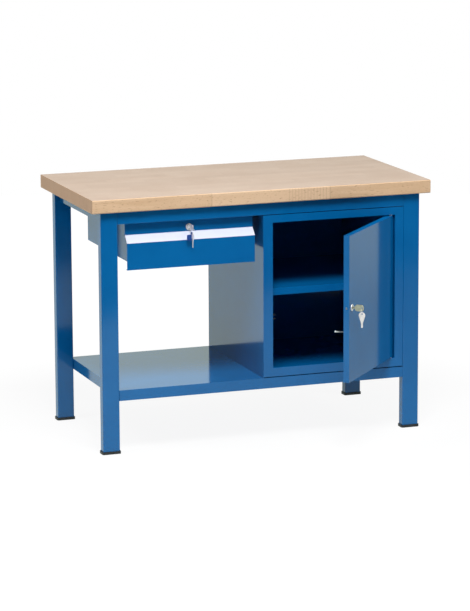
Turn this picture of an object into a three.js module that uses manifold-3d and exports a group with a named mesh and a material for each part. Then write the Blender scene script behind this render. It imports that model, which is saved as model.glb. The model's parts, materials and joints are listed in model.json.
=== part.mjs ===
// Workbench with a beech top, a lockable drawer, a lower shelf and a cabinet with one hinged door.
// Millimetres, +Z up, +X along the bench to the right, the front faces -Y.
import * as THREE from "three";
import { mergeVertices } from "three/addons/utils/BufferGeometryUtils.js";
import Module from "manifold-3d";

// Worktop
const TOP_LENGTH = 1200;
const TOP_DEPTH = 600;
const TOP_THICKNESS = 45;
const TOP_ARRIS = 2.5;
const BENCH_HEIGHT = 860;
const SIDE_OVERHANG = 33;
const FRONT_OVERHANG = 18;
const REAR_OVERHANG = 25;

// Legs and their plastic shoes
const LEG_WIDTH = 58;
const LEG_DEPTH = 32;
const LEG_WALL = 2;
const LEG_CORNER = 3;
const SHOE_SOLE = 4;
const SHOE_COLLAR = 5;
const SHOE_FLARE = 3.2;
const SHOE_CLEARANCE = 0.3;

// Rails under the worktop
const RAIL_HEIGHT = 42;
const RAIL_DEPTH = 30;
const RAIL_RETURN = 12;
const APRON_RETURN = 30;
const RAIL_SHEET = 2;
const SIDE_RAIL_INSET = 16;

// Lower shelf
const SHELF_LEVEL = 215;
const SHELF_LIP = 36;
const SHELF_RETURN = 10;
const SHELF_SHEET = 2;

// Cabinet carcass
const PANEL_SHEET = 1.5;
const CABINET_FROM_MIDDLE = 1;
const CABINET_LEG_GAP = 1;
const FRAME_LIFT = 3;
const FRAME_DROP = 2;
const LEFT_STILE = 34;
const RIGHT_STILE = 30;
const UPPER_RAIL = 26;
const LOWER_RAIL = 30;
const FRAME_RETURN = 12;
const INNER_SHELF_LEVEL = 513;
const INNER_SHELF_LIP = 24;
const INNER_SHELF_SETBACK = 42;
const INNER_SHELF_SIDE_GAP = 1;
const PEG_DIAMETER = 6;
const PEG_LENGTH = 14;
const PEG_COLLAR_DIAMETER = 10;
const PEG_INSET = 60;

// Door
const DOOR_THICKNESS = 20;
const DOOR_GAP = 3;
const DOOR_RETURN = 16;
const DOOR_OPEN_DEGREES = 48;
const PIVOT_FROM_EDGE = 11;
const PIVOT_FROM_FACE = 7;
const HINGE_PIN_DIAMETER = 6;
const HINGE_PIN_REACH = 8;
const HINGE_COLLAR_DIAMETER = 11;
const STIFFENER_WIDTH = 60;
const STIFFENER_DEPTH = 12;
const STIFFENER_FLANGE = 14;
const CATCH_PIN_DIAMETER = 5;
const CATCH_PIN_LENGTH = 33;
const CATCH_PIN_FROM_EDGE = 12;
const CATCH_PIN_DROP = 82;
const CATCH_SHEET = 1.2;
const CATCH_HEIGHT = 16;
const CATCH_PLATE_DEPTH = 20;
const CATCH_JAW_SETBACK = 6;
const CATCH_PIN_FOOT = 2;
const CATCH_MOUTH_EASE = 2;

// Drawer and its housing
const DRAWER_FRONT_LAP = 28;
const DRAWER_TOP_GAP = 3;
const DRAWER_BAND = 38;
const DRAWER_STRIP_RISE = 25;
const DRAWER_STRIP_SETBACK = 23;
const DRAWER_PANEL_HEIGHT = 89;
const DRAWER_PROUD = 3;
const DRAWER_RETURN = 12;
const STRIP_THICKNESS = 1;
const HOUSING_SIDE_GAP = 59;
const HOUSING_REAR_GAP = 2;
const HOUSING_DROP = 142;
const HOUSING_FLANGE = 15;
const BOX_SIDE_GAP = 10.5;
const BOX_FLOOR_GAP = 8;
const BOX_REAR_GAP = 8;
const BOX_HEIGHT = 96;
const RUNNER_HEIGHT = 28;
const RUNNER_SHEET = 1.5;
const RUNNER_REACH = 8;
const RUNNER_RISE = 38;
const RUNNER_FRONT_INSET = 8;

// Locks and keys
const LOCK_BODY_DIAMETER = 19;
const LOCK_FLANGE_DIAMETER = 23;
const LOCK_FLANGE = 2;
const LOCK_BODY_LENGTH = 14;
const PLUG_DIAMETER = 12;
const PLUG_PROUD = 1;
const DRAWER_LOCK_DROP = 23;
const CAM_LENGTH = 29;
const CAM_WIDTH = 11;
const CAM_SHEET = 2.5;
const DOOR_LOCK_LEVEL = 500;
const DOOR_LOCK_FROM_EDGE = 24;
const LOCK_CASE_HEIGHT = 36;
const LOCK_CASE_BEHIND = 13;
const LOCK_CASE_THICKNESS = 11;
const BOLT_HEIGHT = 7;
const BOLT_THICKNESS = 5;
const KEY_THICKNESS = 2;
const KEY_SHANK_WIDTH = 6;
const KEY_SHANK = 10;
const KEY_BOW_LENGTH = 28;
const KEY_BOW_WIDTH = 22;
const KEY_BLADE = 24;
const KEY_HOLE_DIAMETER = 5;
const KEY_HOLE_FROM_END = 6;
const RING_DIAMETER = 16;
const RING_WIRE = 1.4;
const FOB_WIDTH = 16;
const FOB_HEIGHT = 20;
const FOB_THICKNESS = 4;
const FOB_OFFSET = 4.2;
const FOB_EYE_RIM = 2;

// Gaps between pieces that fit or turn in one another
const FIT_CLEARANCE = 0.3;
const ROUND_STEPS = 28;

const wasm = await Module();
wasm.setup();

// Helpers for solids

function toSolid(geometry) {
  const bare = geometry.clone();
  bare.deleteAttribute("normal");
  bare.deleteAttribute("uv");
  const merged = mergeVertices(bare, 1e-4);
  return new wasm.Manifold(
    new wasm.Mesh({
      numProp: 3,
      vertProperties: merged.attributes.position.array,
      triVerts: new Uint32Array(merged.index.array),
    }),
  );
}

function toGeometry(solid) {
  const mesh = solid.getMesh();
  const indexed = new THREE.BufferGeometry();
  indexed.setAttribute("position", new THREE.BufferAttribute(mesh.vertProperties.slice(), 3));
  indexed.setIndex(new THREE.BufferAttribute(mesh.triVerts.slice(), 1));
  const geometry = indexed.toNonIndexed();
  geometry.computeVertexNormals();
  return geometry;
}

function cut(body, ...tools) {
  return toGeometry(tools.reduce((solid, tool) => solid.subtract(toSolid(tool)), toSolid(body)));
}

function join(first, ...rest) {
  return toGeometry(rest.reduce((solid, piece) => solid.add(toSolid(piece)), toSolid(first)));
}

// A box from its low and high limits along X, Y and Z.
function box([x0, x1], [y0, y1], [z0, z1]) {
  const geometry = new THREE.BoxGeometry(x1 - x0, y1 - y0, z1 - z0);
  return geometry.translate((x0 + x1) / 2, (y0 + y1) / 2, (z0 + z1) / 2);
}

const X_AXIS = new THREE.Vector3(1, 0, 0);
const Y_AXIS = new THREE.Vector3(0, 1, 0);
const Z_AXIS = new THREE.Vector3(0, 0, 1);

// Sweeps a flat outline along one axis. The outline's own two axes are the next two in X, Y, Z order.
const SWEEPS = {
  x: new THREE.Matrix4().makeBasis(Y_AXIS, Z_AXIS, X_AXIS),
  y: new THREE.Matrix4().makeBasis(Z_AXIS, X_AXIS, Y_AXIS),
  z: new THREE.Matrix4(),
};

function sweep(axis, outline, [from, to]) {
  const settings = { depth: to - from, bevelEnabled: false, curveSegments: 8 };
  const geometry = new THREE.ExtrudeGeometry(outline, settings);
  return geometry.translate(0, 0, from).applyMatrix4(SWEEPS[axis]);
}

function rectangle([u0, u1], [v0, v1]) {
  const corners = [
    [u0, v0],
    [u1, v0],
    [u1, v1],
    [u0, v1],
  ];
  return new THREE.Shape(corners.map(([u, v]) => new THREE.Vector2(u, v)));
}

function roundedRectangle([u0, u1], [v0, v1], radius) {
  const outline = new THREE.Shape();
  outline.moveTo(u0 + radius, v0);
  outline.lineTo(u1 - radius, v0);
  outline.absarc(u1 - radius, v0 + radius, radius, -Math.PI / 2, 0);
  outline.lineTo(u1, v1 - radius);
  outline.absarc(u1 - radius, v1 - radius, radius, 0, Math.PI / 2);
  outline.lineTo(u0 + radius, v1);
  outline.absarc(u0 + radius, v1 - radius, radius, Math.PI / 2, Math.PI);
  outline.lineTo(u0, v0 + radius);
  outline.absarc(u0 + radius, v0 + radius, radius, Math.PI, 1.5 * Math.PI);
  return outline;
}

// The cross-section of a folded sheet: a line of bends, given thickness on its left side.
function foldedSheet(bends, thickness) {
  const line = bends.map(([u, v]) => new THREE.Vector2(u, v));
  const normals = line.slice(1).map((point, i) => {
    const along = point.clone().sub(line[i]).normalize();
    return new THREE.Vector2(-along.y, along.x);
  });
  const inside = line.map((point, i) => {
    const before = normals[Math.max(i - 1, 0)];
    const after = normals[Math.min(i, normals.length - 1)];
    const mitre = before.clone().add(after).divideScalar(1 + before.dot(after));
    return point.clone().addScaledVector(mitre, thickness);
  });
  return new THREE.Shape([...line, ...inside.reverse()]);
}

// A round bar between two places along one axis, centred on a point of the other two.
function bar(axis, diameter, [from, to], [u, v]) {
  const geometry = new THREE.CylinderGeometry(diameter / 2, diameter / 2, to - from, ROUND_STEPS);
  geometry.rotateX(Math.PI / 2);
  return geometry.translate(u, v, (from + to) / 2).applyMatrix4(SWEEPS[axis]);
}

const PAINT = new THREE.MeshStandardMaterial({ color: 0x0a5fa0, roughness: 0.28, metalness: 0 });
const BEECH = new THREE.MeshStandardMaterial({ color: 0xd4bd9f, roughness: 0.55, metalness: 0 });
const PLASTIC = new THREE.MeshStandardMaterial({ color: 0x17181b, roughness: 0.6, metalness: 0 });
const STEEL = new THREE.MeshStandardMaterial({ color: 0xc4c4c2, roughness: 0.3, metalness: 1 });
const BRASS = new THREE.MeshStandardMaterial({ color: 0xb9ac8a, roughness: 0.35, metalness: 1 });
const ZINC = new THREE.MeshStandardMaterial({ color: 0xa9adb0, roughness: 0.4, metalness: 1 });
const WHITE = new THREE.MeshStandardMaterial({ color: 0xf2f1fb, roughness: 0.35, metalness: 0 });
const FOB_BLUE = new THREE.MeshStandardMaterial({ color: 0x12408a, roughness: 0.4, metalness: 0 });

function place(group, name, geometry, material) {
  const mesh = new THREE.Mesh(geometry, material.clone());
  mesh.name = name;
  group.add(mesh);
  return mesh;
}

const bench = new THREE.Group();

// Limits that the pieces share
const frameTop = BENCH_HEIGHT - TOP_THICKNESS;
const railUnder = frameTop - RAIL_HEIGHT;
const legOuter = TOP_LENGTH / 2 - SIDE_OVERHANG;
const legInner = legOuter - LEG_WIDTH;
const frontFace = -TOP_DEPTH / 2 + FRONT_OVERHANG;
const rearFace = TOP_DEPTH / 2 - REAR_OVERHANG;
const SIDES = [
  ["left", -1],
  ["right", 1],
];

function span(a, b) {
  return a < b ? [a, b] : [b, a];
}

function addWorktop() {
  const outline = new THREE.Shape();
  const [y0, y1] = [-TOP_DEPTH / 2, TOP_DEPTH / 2];
  const [z0, z1] = [frameTop, BENCH_HEIGHT];
  outline.moveTo(y0 + TOP_ARRIS, z0);
  outline.lineTo(y1 - TOP_ARRIS, z0);
  outline.lineTo(y1, z0 + TOP_ARRIS);
  outline.lineTo(y1, z1 - TOP_ARRIS);
  outline.lineTo(y1 - TOP_ARRIS, z1);
  outline.lineTo(y0 + TOP_ARRIS, z1);
  outline.lineTo(y0, z1 - TOP_ARRIS);
  outline.lineTo(y0, z0 + TOP_ARRIS);
  place(bench, "worktop", sweep("x", outline, [-TOP_LENGTH / 2, TOP_LENGTH / 2]), BEECH);
}

// One tube leg on its shoe. The shoe's collar flares down to the sole.
function addLeg(name, x, y) {
  const tube = roundedRectangle(x, y, LEG_CORNER);
  const bore = roundedRectangle(
    [x[0] + LEG_WALL, x[1] - LEG_WALL],
    [y[0] + LEG_WALL, y[1] - LEG_WALL],
    LEG_CORNER - LEG_WALL,
  );
  tube.holes.push(bore);
  place(bench, "leg_" + name, sweep("z", tube, [SHOE_SOLE, frameTop]), PAINT);

  const foot = roundedRectangle(
    [x[0] - SHOE_FLARE, x[1] + SHOE_FLARE],
    [y[0] - SHOE_FLARE, y[1] + SHOE_FLARE],
    LEG_CORNER + SHOE_FLARE,
  );
  const socket = roundedRectangle(
    [x[0] - SHOE_CLEARANCE, x[1] + SHOE_CLEARANCE],
    [y[0] - SHOE_CLEARANCE, y[1] + SHOE_CLEARANCE],
    LEG_CORNER + SHOE_CLEARANCE,
  );
  const top = SHOE_SOLE + SHOE_COLLAR;
  const shoe = cut(sweep("z", foot, [0, top]), sweep("z", socket, [SHOE_SOLE, top + 1]));
  place(bench, "foot_shoe_" + name, shoe, PLASTIC);
}

function addLegs() {
  for (const [side, sign] of SIDES) {
    const x = span(sign * legInner, sign * legOuter);
    addLeg("front_" + side, x, [frontFace, frontFace + LEG_DEPTH]);
    addLeg("rear_" + side, x, [rearFace - LEG_DEPTH, rearFace]);
  }
}

// Rails: channels with a full flange under the worktop and a return at their lower edge, which is
// short but for the front one, where the drawer's lock catches behind it.
function addRails() {
  const front = foldedSheet(
    [
      [frontFace + APRON_RETURN, railUnder],
      [frontFace, railUnder],
      [frontFace, frameTop],
      [frontFace + RAIL_DEPTH, frameTop],
    ],
    -RAIL_SHEET,
  );
  place(bench, "front_apron", sweep("x", front, [-legInner, legInner]), PAINT);

  const rear = foldedSheet(
    [
      [rearFace - RAIL_RETURN, railUnder],
      [rearFace, railUnder],
      [rearFace, frameTop],
      [rearFace - RAIL_DEPTH, frameTop],
    ],
    RAIL_SHEET,
  );
  place(bench, "rear_apron", sweep("x", rear, [-legInner, legInner]), PAINT);

  for (const [side, sign] of SIDES) {
    const outer = sign * (legOuter - SIDE_RAIL_INSET);
    const channel = foldedSheet(
      [
        [railUnder, outer - sign * RAIL_RETURN],
        [railUnder, outer],
        [frameTop, outer],
        [frameTop, outer - sign * RAIL_DEPTH],
      ],
      -sign * RAIL_SHEET,
    );
    const run = [frontFace + LEG_DEPTH, rearFace - LEG_DEPTH];
    place(bench, "side_rail_" + side, sweep("y", channel, run), PAINT);
  }
}

// Lower shelf: a pan turned face down, folded on all four edges, between the legs.
function addLowerShelf() {
  const under = SHELF_LEVEL - SHELF_LIP;
  const folded = foldedSheet(
    [
      [frontFace + SHELF_RETURN, under],
      [frontFace, under],
      [frontFace, SHELF_LEVEL],
      [rearFace, SHELF_LEVEL],
      [rearFace, under],
      [rearFace - SHELF_RETURN, under],
    ],
    -SHELF_SHEET,
  );
  const pan = sweep("x", folded, [-legInner, legInner]);
  const ends = SIDES.map(([, sign]) =>
    box(
      span(sign * (legInner - SHELF_SHEET), sign * legInner),
      [frontFace, rearFace],
      [under, SHELF_LEVEL],
    ),
  );
  place(bench, "lower_shelf", join(pan, ...ends), PAINT);
}

// Cabinet limits
const cabinetRight = legInner - CABINET_LEG_GAP;
const cabinetLeft = CABINET_FROM_MIDDLE;
const cabinetTop = railUnder - FRAME_DROP;
const frameBottom = SHELF_LEVEL + FRAME_LIFT;
const openLeft = cabinetLeft + LEFT_STILE;
const openRight = cabinetRight - RIGHT_STILE;
const openBottom = frameBottom + LOWER_RAIL;
const openTop = cabinetTop - UPPER_RAIL;
const frameBack = frontFace + PANEL_SHEET;
const wallLeft = cabinetLeft + PANEL_SHEET;
const wallRight = cabinetRight - PANEL_SHEET;

// Door limits, measured from its pivot with the door shut
const doorWidth = openRight - openLeft - 2 * DOOR_GAP;
const doorHinge = PIVOT_FROM_EDGE;
const doorFree = doorHinge - doorWidth;
const doorFront = -PIVOT_FROM_FACE;
const doorBack = doorFront + DOOR_THICKNESS;
const doorBottom = openBottom + DOOR_GAP;
const doorTop = openTop - DOOR_GAP;
const pivotX = openRight - DOOR_GAP - PIVOT_FROM_EDGE;
const pivotY = frontFace + PIVOT_FROM_FACE;
const lockX = doorFree + DOOR_LOCK_FROM_EDGE;
const boltFront = doorFront + (DOOR_THICKNESS - BOLT_THICKNESS) / 2;
const boltBack = boltFront + BOLT_THICKNESS;
const boltLow = DOOR_LOCK_LEVEL - BOLT_HEIGHT / 2;
const boltHigh = DOOR_LOCK_LEVEL + BOLT_HEIGHT / 2;
const catchLevel = DOOR_LOCK_LEVEL - CATCH_PIN_DROP;

// The face frame: a sheet with the door opening, its edges turned back into the cabinet.
function addFaceFrame() {
  const plate = rectangle([openLeft - LEFT_STILE, cabinetRight], [frameBottom, cabinetTop]);
  const opening = [
    [openLeft, openRight],
    [openBottom, openTop],
  ];
  plate.holes.push(rectangle(...opening));
  const collar = rectangle(
    [openLeft - PANEL_SHEET, openRight + PANEL_SHEET],
    [openBottom - PANEL_SHEET, openTop + PANEL_SHEET],
  );
  collar.holes.push(rectangle(...opening));
  const facing = new THREE.Matrix4().makeBasis(X_AXIS, Z_AXIS, Y_AXIS.clone().negate());
  const upright = (outline, depth) => {
    const settings = { depth, bevelEnabled: false };
    return new THREE.ExtrudeGeometry(outline, settings)
      .applyMatrix4(facing)
      .translate(0, frontFace + depth, 0);
  };
  const frame = join(upright(plate, PANEL_SHEET), upright(collar, FRAME_RETURN));

  const pinHole = HINGE_PIN_DIAMETER + 2 * FIT_CLEARANCE;
  const lowRun = [openBottom - 2 * PANEL_SHEET, openBottom + PANEL_SHEET];
  const highRun = [openTop - PANEL_SHEET, openTop + 2 * PANEL_SHEET];
  const lowHole = bar("z", pinHole, lowRun, [pivotX, pivotY]);
  const highHole = bar("z", pinHole, highRun, [pivotX, pivotY]);
  const boltNotch = box(
    [openLeft - PANEL_SHEET - 1, openLeft + 1],
    [pivotY + boltFront - 1, pivotY + boltBack + 1],
    [boltLow - 1, boltHigh + 1],
  );
  place(bench, "cabinet_face_frame", cut(frame, lowHole, highHole, boltNotch), PAINT);
}

function addCabinet() {
  addFaceFrame();
  const depth = [frameBack, rearFace];
  const inner = [wallLeft, wallRight];
  const height = [SHELF_LEVEL, cabinetTop];
  place(bench, "cabinet_left_side", box([cabinetLeft, wallLeft], depth, height), PAINT);
  place(bench, "cabinet_right_side", box([wallRight, cabinetRight], depth, height), PAINT);
  const backFront = rearFace - PANEL_SHEET;
  place(bench, "cabinet_back", box(inner, [backFront, rearFace], height), PAINT);
  const run = [frameBack, backFront];
  const floor = box(inner, run, [frameBottom, frameBottom + PANEL_SHEET]);
  place(bench, "cabinet_floor", floor, PAINT);
  const roof = box(inner, run, [cabinetTop - PANEL_SHEET, cabinetTop]);
  place(bench, "cabinet_roof", roof, PAINT);
  addInnerShelf(backFront);
}

// The loose shelf hangs its plate on four pegs in the cabinet's side walls.
function addInnerShelf(backFront) {
  const shelfFront = frontFace + INNER_SHELF_SETBACK;
  const shelfRear = backFront - FIT_CLEARANCE;
  const lipUnder = INNER_SHELF_LEVEL - INNER_SHELF_LIP;
  const folded = foldedSheet(
    [
      [shelfFront + SHELF_RETURN, lipUnder],
      [shelfFront, lipUnder],
      [shelfFront, INNER_SHELF_LEVEL],
      [shelfRear, INNER_SHELF_LEVEL],
      [shelfRear, lipUnder],
    ],
    -PANEL_SHEET,
  );
  const width = [wallLeft + INNER_SHELF_SIDE_GAP, wallRight - INNER_SHELF_SIDE_GAP];
  place(bench, "cabinet_shelf", sweep("x", folded, width), PAINT);

  const pegLevel = INNER_SHELF_LEVEL - PANEL_SHEET - FIT_CLEARANCE - PEG_DIAMETER / 2;
  const rows = [
    ["front", shelfFront + PEG_INSET],
    ["rear", shelfRear - PEG_INSET],
  ];
  for (const [side, sign] of SIDES) {
    const wall = sign < 0 ? wallLeft : wallRight;
    for (const [row, y] of rows) {
      const pin = bar("x", PEG_DIAMETER, span(wall, wall - sign * PEG_LENGTH), [y, pegLevel]);
      const collarLevel = pegLevel - (PEG_COLLAR_DIAMETER - PEG_DIAMETER) / 2;
      const collarRun = span(wall, wall - sign * (INNER_SHELF_SIDE_GAP - FIT_CLEARANCE));
      const collar = bar("x", PEG_COLLAR_DIAMETER, collarRun, [y, collarLevel]);
      place(bench, "shelf_peg_" + row + "_" + side, join(pin, collar), ZINC);
    }
  }
}

const door = new THREE.Group();
door.position.set(pivotX, pivotY, 0);
door.rotation.z = THREE.MathUtils.degToRad(DOOR_OPEN_DEGREES);
bench.add(door);

// The door: a pan folded back on four edges, with returns on its two uprights.
function addDoorPanel() {
  const wall = PANEL_SHEET;
  const inside = [doorFree + wall, doorHinge - wall];
  const tall = [doorBottom + wall, doorTop - wall];
  const block = box([doorFree, doorHinge], [doorFront, doorBack], [doorBottom, doorTop]);
  const hollow = box(inside, [doorFront + wall, doorBack + 1], tall);
  const freeReturn = box(
    [doorFree + wall / 2, doorFree + wall + DOOR_RETURN],
    [doorBack - wall, doorBack],
    [doorBottom + wall / 2, doorTop - wall / 2],
  );
  const hingeReturn = box(
    [doorHinge - wall - DOOR_RETURN, doorHinge - wall / 2],
    [doorBack - wall, doorBack],
    [doorBottom + wall / 2, doorTop - wall / 2],
  );
  const pan = join(cut(block, hollow), freeReturn, hingeReturn);

  const pinHole = HINGE_PIN_DIAMETER + 2 * FIT_CLEARANCE;
  const lowHole = bar("z", pinHole, [doorBottom - 1, doorBottom + wall + 1], [0, 0]);
  const highHole = bar("z", pinHole, [doorTop - wall - 1, doorTop + 1], [0, 0]);
  const lockHole = bar(
    "y",
    LOCK_BODY_DIAMETER + 2 * FIT_CLEARANCE,
    [doorFront - 1, doorFront + wall + 1],
    [DOOR_LOCK_LEVEL, lockX],
  );
  const boltSlot = box(
    [doorFree - 1, doorFree + wall + 1],
    [boltFront - FIT_CLEARANCE, boltBack + FIT_CLEARANCE],
    [boltLow - FIT_CLEARANCE, boltHigh + FIT_CLEARANCE],
  );
  place(door, "door_panel", cut(pan, lowHole, highHole, lockHole, boltSlot), PAINT);

  const middle = (doorFree + doorHinge) / 2;
  const seat = doorFront + wall + FIT_CLEARANCE;
  const half = STIFFENER_WIDTH / 2;
  const crown = half - STIFFENER_FLANGE;
  const hat = foldedSheet(
    [
      [middle - half, seat],
      [middle - crown, seat],
      [middle - crown, seat + STIFFENER_DEPTH],
      [middle + crown, seat + STIFFENER_DEPTH],
      [middle + crown, seat],
      [middle + half, seat],
    ],
    wall,
  );
  const run = [doorBottom + wall + FIT_CLEARANCE, doorTop - wall - FIT_CLEARANCE];
  place(door, "door_stiffener", sweep("z", hat, run), PAINT);
}

// Fixed pivot pins, riveted in the face frame, with a collar that carries the door.
function addHingePins() {
  const collarHeight = DOOR_GAP - FIT_CLEARANCE;
  const at = [pivotX, pivotY];
  const low = join(
    bar("z", HINGE_PIN_DIAMETER, [openBottom - PANEL_SHEET, doorBottom + HINGE_PIN_REACH], at),
    bar("z", HINGE_COLLAR_DIAMETER, [openBottom, openBottom + collarHeight], at),
  );
  place(bench, "hinge_pin_lower", low, STEEL);
  const high = join(
    bar("z", HINGE_PIN_DIAMETER, [doorTop - HINGE_PIN_REACH, openTop + PANEL_SHEET], at),
    bar("z", HINGE_COLLAR_DIAMETER, [openTop - collarHeight, openTop], at),
  );
  place(bench, "hinge_pin_upper", high, STEEL);
}

// A steel pin on the door's return snaps between the two leaves of a spring clip inside the stile.
function addCatch() {
  const pinX = doorFree + CATCH_PIN_FROM_EDGE;
  const start = doorBack + FIT_CLEARANCE;
  const shaft = bar("y", CATCH_PIN_DIAMETER, [start, start + CATCH_PIN_LENGTH], [catchLevel, pinX]);
  const nose = new THREE.SphereGeometry(CATCH_PIN_DIAMETER * 0.7, 16, 12);
  nose.translate(pinX, start + CATCH_PIN_LENGTH, catchLevel);
  const foot = bar("y", CATCH_PIN_DIAMETER * 2, [start, start + CATCH_PIN_FOOT], [catchLevel, pinX]);
  place(door, "catch_pin", join(shaft, nose, foot), STEEL);

  const shutX = pivotX + pinX;
  const jawFront = pivotY + start + CATCH_JAW_SETBACK;
  const jawBack = jawFront + CATCH_PLATE_DEPTH;
  const gap = CATCH_PIN_DIAMETER / 2 + FIT_CLEARANCE;
  const root = openLeft - PANEL_SHEET;
  const frameReturn = frontFace + FRAME_RETURN;
  const low = catchLevel - CATCH_HEIGHT / 2;
  const high = catchLevel + CATCH_HEIGHT / 2;
  const strap = box([root, root + CATCH_SHEET], [frameReturn, jawBack], [low, high]);
  const bridge = box([root, shutX + CATCH_PIN_DIAMETER], [jawFront, jawBack], [low, high]);
  const mouth = box(
    [root + CATCH_SHEET, shutX + CATCH_PIN_DIAMETER + 1],
    [jawFront - 1, jawBack + 1],
    [catchLevel - gap - CATCH_MOUTH_EASE, catchLevel + gap + CATCH_MOUTH_EASE],
  );
  place(bench, "catch_clip", cut(join(strap, bridge), mouth), ZINC);
}

// Outline of a key from its tip along u, with the bow at the end.
function keyOutline(blade) {
  const half = KEY_BOW_WIDTH / 2;
  const shank = KEY_SHANK_WIDTH / 2;
  const end = blade + KEY_BOW_LENGTH;
  const outline = new THREE.Shape();
  outline.moveTo(0, -shank);
  outline.lineTo(blade, -shank);
  outline.quadraticCurveTo(blade + 2, -half, blade + half, -half);
  outline.lineTo(end - half * 0.8, -half);
  outline.quadraticCurveTo(end, -half, end, 0);
  outline.quadraticCurveTo(end, half, end - half * 0.8, half);
  outline.lineTo(blade + half, half);
  outline.quadraticCurveTo(blade + 2, half, blade, shank);
  outline.lineTo(0, shank);
  const hole = new THREE.Path();
  hole.absarc(end - KEY_HOLE_FROM_END, 0, KEY_HOLE_DIAMETER / 2, 0, 2 * Math.PI, true);
  outline.holes.push(hole);
  return outline;
}

function keyPlate(blade) {
  const settings = { depth: KEY_THICKNESS, bevelEnabled: false, curveSegments: 8 };
  return new THREE.ExtrudeGeometry(keyOutline(blade), settings).translate(0, 0, -KEY_THICKNESS / 2);
}

// A key in a plug whose face is at [x, y, z], with a ring through its bow and a spare key below.
function addKeys(group, name, [x, y, z]) {
  const outward = new THREE.Matrix4().makeBasis(
    Y_AXIS.clone().negate(),
    Z_AXIS,
    X_AXIS.clone().negate(),
  );
  const inserted = keyPlate(KEY_SHANK).applyMatrix4(outward).translate(x, y - FIT_CLEARANCE, z);
  place(group, name + "_key", inserted, BRASS);

  const hang = KEY_HOLE_DIAMETER / 2 - RING_WIRE / 2 - FIT_CLEARANCE;
  const holeY = y - FIT_CLEARANCE - KEY_SHANK - KEY_BOW_LENGTH + KEY_HOLE_FROM_END;
  const ringLevel = z - hang - RING_DIAMETER / 2;
  const ring = new THREE.TorusGeometry(RING_DIAMETER / 2, RING_WIRE / 2, 8, 32);
  place(group, name + "_key_ring", ring.rotateX(Math.PI / 2).translate(x, holeY, ringLevel), STEEL);

  const down = new THREE.Matrix4().makeBasis(Z_AXIS, Y_AXIS.clone().negate(), X_AXIS);
  const spareHole = ringLevel - RING_DIAMETER / 2 - hang;
  const spareTip = spareHole + KEY_HOLE_FROM_END - KEY_BLADE - KEY_BOW_LENGTH;
  const spare = keyPlate(KEY_BLADE).applyMatrix4(down).translate(x, holeY, spareTip);
  place(group, name + "_spare_key", spare, STEEL);
  return { holeY, ringLevel, hang };
}

// A plastic fob on the drawer's ring: a flat body below an eye that the wire passes through.
function addFob(group, x, { holeY, ringLevel, hang }) {
  const radius = RING_DIAMETER / 2;
  const wireFall = Math.sqrt(radius ** 2 - FOB_OFFSET ** 2);
  const wireLevel = ringLevel - wireFall;
  const eyeX = x - FOB_OFFSET;
  const eyeWidth = KEY_THICKNESS;
  const wireSlant = (FOB_OFFSET / wireFall) * (eyeWidth / 2);
  const eyeLevel = wireLevel - hang + wireSlant + FIT_CLEARANCE / 2;
  const eyeOuter = KEY_HOLE_DIAMETER + 2 * FOB_EYE_RIM;
  const eye = bar("x", eyeOuter, [eyeX - eyeWidth / 2, eyeX + eyeWidth / 2], [holeY, eyeLevel]);
  const eyeRun = [eyeX - eyeWidth, eyeX + eyeWidth];
  const eyeHole = bar("x", KEY_HOLE_DIAMETER, eyeRun, [holeY, eyeLevel]);
  const bodyTop = eyeLevel - eyeOuter / 2 + 1;
  const bodyRight = eyeX + eyeWidth / 2;
  const body = roundedRectangle(
    [bodyTop - FOB_HEIGHT, bodyTop],
    [bodyRight - FOB_WIDTH, bodyRight],
    FOB_THICKNESS,
  );
  const thickness = [holeY - FOB_THICKNESS / 2, holeY + FOB_THICKNESS / 2];
  const fob = cut(join(eye, sweep("y", body, thickness)), eyeHole);
  place(group, "key_fob", fob, FOB_BLUE);
}

// A round lock body through a sheet whose outer face is at y, with its plug.
function lockBody(face, level, x) {
  const front = face - FIT_CLEARANCE - LOCK_FLANGE;
  const back = face + LOCK_BODY_LENGTH;
  const barrel = bar("y", LOCK_BODY_DIAMETER, [front, back], [level, x]);
  const flange = bar("y", LOCK_FLANGE_DIAMETER, [front, front + LOCK_FLANGE], [level, x]);
  const bore = bar("y", PLUG_DIAMETER + 2 * FIT_CLEARANCE, [front - 1, back + 1], [level, x]);
  return { front, back, outer: join(barrel, flange), bore };
}

// The door's lock: a barrel, a case behind the free edge and a bolt that the plug throws.
function addDoorLock() {
  const { front, back, outer, bore } = lockBody(doorFront, DOOR_LOCK_LEVEL, lockX);
  const caseFront = doorFront + PANEL_SHEET + FIT_CLEARANCE;
  const caseLeft = doorFree + PANEL_SHEET + FIT_CLEARANCE;
  const shell = box(
    [caseLeft, lockX + LOCK_CASE_BEHIND],
    [caseFront, caseFront + LOCK_CASE_THICKNESS],
    [DOOR_LOCK_LEVEL - LOCK_CASE_HEIGHT / 2, DOOR_LOCK_LEVEL + LOCK_CASE_HEIGHT / 2],
  );
  const boltTail = lockX - PLUG_DIAMETER / 2 - 3 * FIT_CLEARANCE;
  const channel = box(
    [caseLeft - 1, boltTail + FIT_CLEARANCE],
    [boltFront - FIT_CLEARANCE, boltBack + FIT_CLEARANCE],
    [boltLow - FIT_CLEARANCE, boltHigh + FIT_CLEARANCE],
  );
  place(door, "door_lock_body", cut(join(outer, shell), bore, channel), ZINC);
  const bolt = box([doorFree, boltTail], [boltFront, boltBack], [boltLow, boltHigh]);
  place(door, "door_lock_bolt", bolt, STEEL);
  const plugFace = front - PLUG_PROUD;
  const plug = bar("y", PLUG_DIAMETER, [plugFace, back], [DOOR_LOCK_LEVEL, lockX]);
  place(door, "door_lock_plug", plug, BRASS);
  addKeys(door, "door", [lockX, plugFace, DOOR_LOCK_LEVEL]);
}

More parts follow.
